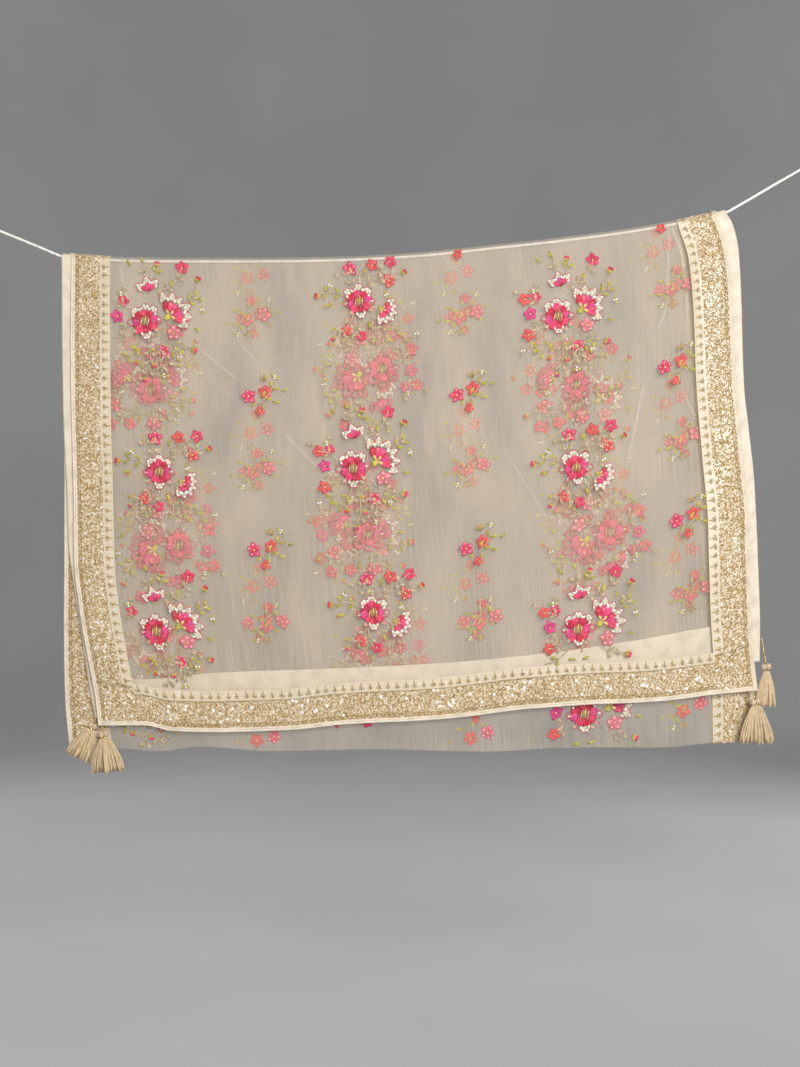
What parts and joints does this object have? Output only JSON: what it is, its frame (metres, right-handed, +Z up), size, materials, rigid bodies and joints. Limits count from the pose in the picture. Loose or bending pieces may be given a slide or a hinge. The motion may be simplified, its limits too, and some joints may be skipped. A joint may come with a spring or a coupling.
{
  "type": "dupatta stole hung on a line",
  "caption": "Sheer embroidered net stole with gold borders, piped hems and corner tassels, folded end to end and hung over a taut string between wall eyes.",
  "frame": {"origin": "middle of the left wall plate's back face, where the line is fixed to the wall", "axes": "+X along the line to the right wall eye as a viewer in front sees it, +Y into the wall, +Z up; the cloth hangs in front of the wall, on the -Y side"},
  "size_m": [1.1538, 0.0572, 0.8384],
  "materials": {
    "net": "sheer fine net, slight sheen",
    "gold_border": "metallic thread and sequin embroidery on satin",
    "satin": "plain cream satin, soft sheen",
    "tassel_thread": "soft twisted thread",
    "gold_bead": "polished",
    "cotton": "matte cotton cord",
    "steel": "plain bright steel"
  },
  "bodies": {
    "root": {"beads_inner_left": "gold_bead", "beads_inner_right": "gold_bead", "beads_outer_left": "gold_bead", "beads_outer_right": "gold_bead", "border_hem_front_inner": "gold_border", "border_hem_front_outer": "gold_border", "border_left_back_inner": "gold_border", "border_left_back_outer": "gold_border", "border_left_front_inner": "gold_border", "border_left_front_outer": "gold_border", "border_right_back_inner": "gold_border", "border_right_back_outer": "gold_border", "border_right_front_inner": "gold_border", "border_right_front_outer": "gold_border", "eye_left": "steel", "eye_right": "steel", "facing_hem": "satin", "facing_left": "satin", "facing_right": "satin", "knob_inner_left": "tassel_thread", "knob_inner_right": "tassel_thread", "knob_outer_left": "tassel_thread", "knob_outer_right": "tassel_thread", "knot_left": "cotton", "knot_right": "cotton", "net_back_inner": "net", "net_back_outer": "net", "net_front_inner": "net", "net_front_outer": "net", "piping_hem_front_inner": "satin", "piping_hem_front_outer": "satin", "piping_left_back_inner": "satin", "piping_left_back_outer": "satin", "piping_left_front_inner": "satin", "piping_left_front_outer": "satin", "piping_right_back_inner": "satin", "piping_right_back_outer": "satin", "piping_right_front_inner": "satin", "piping_right_front_outer": "satin", "plate_left": "steel", "plate_right": "steel", "skirt_inner_left": "tassel_thread", "skirt_inner_right": "tassel_thread", "skirt_outer_left": "tassel_thread", "skirt_outer_right": "tassel_thread", "string": "cotton"}
  },
  "joints": []
}
